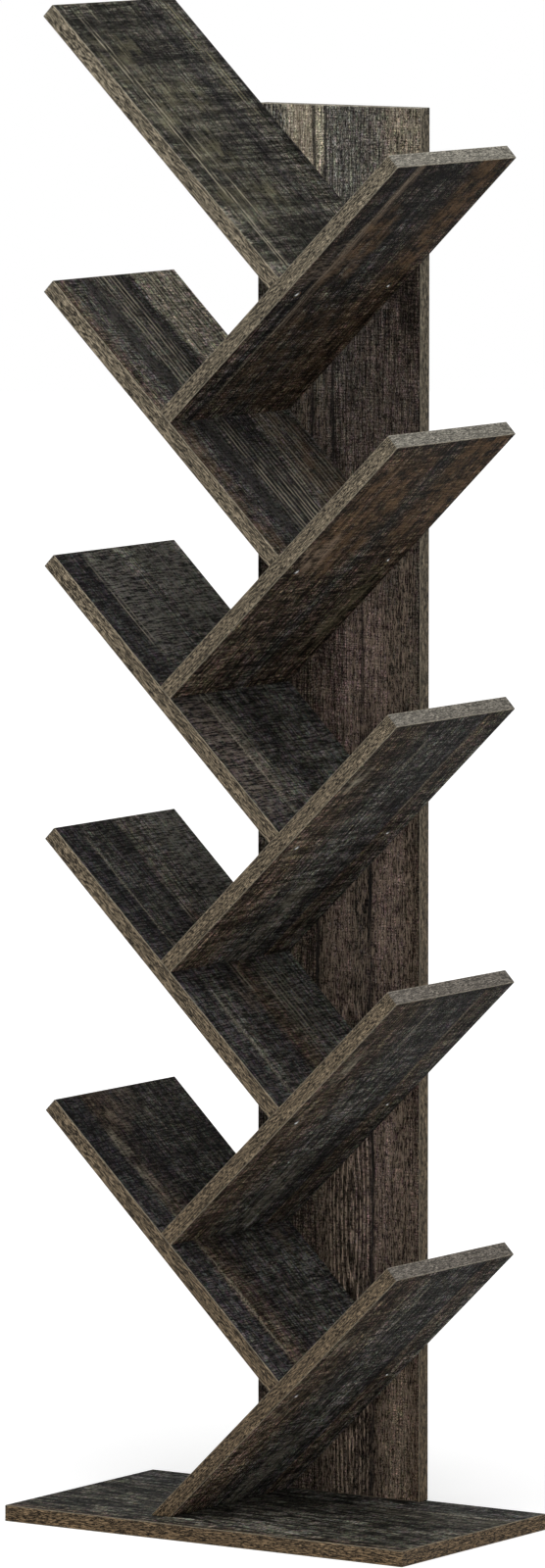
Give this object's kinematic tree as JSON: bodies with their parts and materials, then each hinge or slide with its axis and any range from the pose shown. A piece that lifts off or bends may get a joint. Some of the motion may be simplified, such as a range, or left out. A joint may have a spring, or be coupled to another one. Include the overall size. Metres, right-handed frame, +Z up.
{
  "type": "tree bookshelf",
  "caption": "Tall narrow bookshelf of slanted boards that branch left and right in a zigzag from an upright back panel on a flat base board.",
  "frame": {"origin": "on the floor, under the middle of the base board", "axes": "+Z up, +X to the right seen from the front, the open front faces -Y and the back panel is at +Y"},
  "size_m": [0.44, 0.24, 1.4],
  "materials": {
    "shelf_decor": "printed charcoal weathered wood decor on particle board, satin, taupe edge band",
    "panel_decor": "printed brown-grey weathered wood decor on particle board, satin, grain upright",
    "base_decor": "printed charcoal weathered wood decor on particle board, satin, brown edge band",
    "black_screw": "black oxide steel, satin"
  },
  "bodies": {
    "root": {"base_board": "base_decor", "back_panel": "panel_decor", "shelf_left_1": "shelf_decor", "shelf_right_1": "shelf_decor", "shelf_left_2": "shelf_decor", "shelf_right_2": "shelf_decor", "shelf_left_3": "shelf_decor", "shelf_right_3": "shelf_decor", "shelf_left_4": "shelf_decor", "shelf_right_4": "shelf_decor", "shelf_left_5": "shelf_decor", "shelf_right_5": "shelf_decor", "joint_screw_right_1_front": "black_screw", "joint_screw_right_1_rear": "black_screw", "joint_screw_left_2_front": "black_screw", "joint_screw_left_2_rear": "black_screw", "joint_screw_right_2_front": "black_screw", "joint_screw_right_2_rear": "black_screw", "joint_screw_left_3_front": "black_screw", "joint_screw_left_3_rear": "black_screw", "joint_screw_right_3_front": "black_screw", "joint_screw_right_3_rear": "black_screw", "joint_screw_left_4_front": "black_screw", "joint_screw_left_4_rear": "black_screw", "joint_screw_right_4_front": "black_screw", "joint_screw_right_4_rear": "black_screw", "joint_screw_left_5_front": "black_screw", "joint_screw_left_5_rear": "black_screw", "joint_screw_right_5_front": "black_screw", "joint_screw_right_5_rear": "black_screw", "panel_screw_left_1_upper": "black_screw", "panel_screw_left_1_lower": "black_screw", "panel_screw_right_1_upper": "black_screw", "panel_screw_right_1_lower": "black_screw", "panel_screw_left_2_upper": "black_screw", "panel_screw_left_2_lower": "black_screw", "panel_screw_right_2_upper": "black_screw", "panel_screw_right_2_lower": "black_screw", "panel_screw_left_3_upper": "black_screw", "panel_screw_left_3_lower": "black_screw", "panel_screw_right_3_upper": "black_screw", "panel_screw_right_3_lower": "black_screw", "panel_screw_left_4_upper": "black_screw", "panel_screw_left_4_lower": "black_screw", "panel_screw_right_4_upper": "black_screw", "panel_screw_right_4_lower": "black_screw", "panel_screw_left_5_upper": "black_screw", "panel_screw_left_5_lower": "black_screw", "panel_screw_right_5_upper": "black_screw", "panel_screw_right_5_lower": "black_screw", "base_screw_panel_1": "black_screw", "base_screw_panel_2": "black_screw", "base_screw_panel_3": "black_screw", "base_screw_foot_front": "black_screw", "base_screw_foot_rear": "black_screw"}
  },
  "joints": []
}
